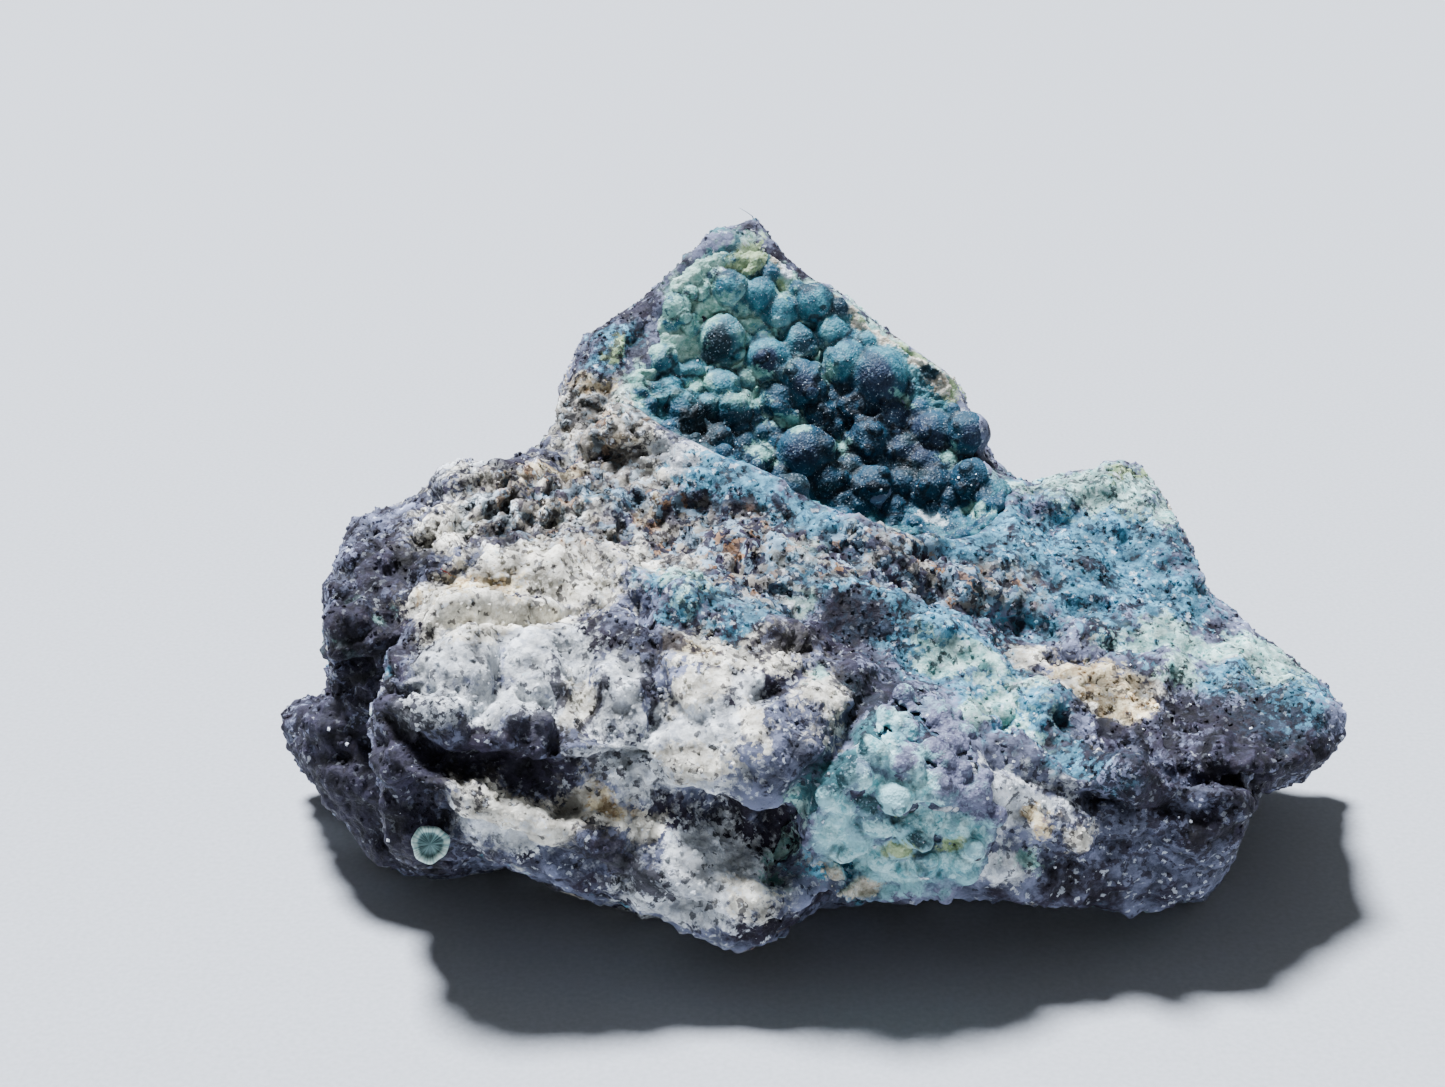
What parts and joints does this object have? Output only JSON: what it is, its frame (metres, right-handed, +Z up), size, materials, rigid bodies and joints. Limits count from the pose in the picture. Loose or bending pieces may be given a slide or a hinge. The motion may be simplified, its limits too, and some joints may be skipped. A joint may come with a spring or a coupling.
{
  "type": "wavellite specimen",
  "caption": "Hand specimen of broken iron-stained chert with a leaning slab, whose hollow is lined with blue-green wavellite balls; rests on a flat foot.",
  "frame": {"origin": "middle of the underside, on the surface that the specimen rests on", "axes": "+Z up, the hollow opens towards -Y and up, +X to the right of someone who looks into it"},
  "size_m": [0.084, 0.0658, 0.0417],
  "materials": {
    "matrix_stone": "rough broken chert, cream and grey-violet, stained brown and coated in places with pale turquoise",
    "hollow_wavellite": "dark blue-green wavellite balls with fine sparkling crystal ends",
    "pale_wavellite": "pale turquoise to white bubbly crust",
    "broken_spherule": "grey-green broken ball with rays of fibres inside"
  },
  "bodies": {
    "root": {"matrix": "matrix_stone", "wavellite_crust": "hollow_wavellite", "front_crust": "pale_wavellite", "side_spherule": "broken_spherule"}
  },
  "joints": []
}
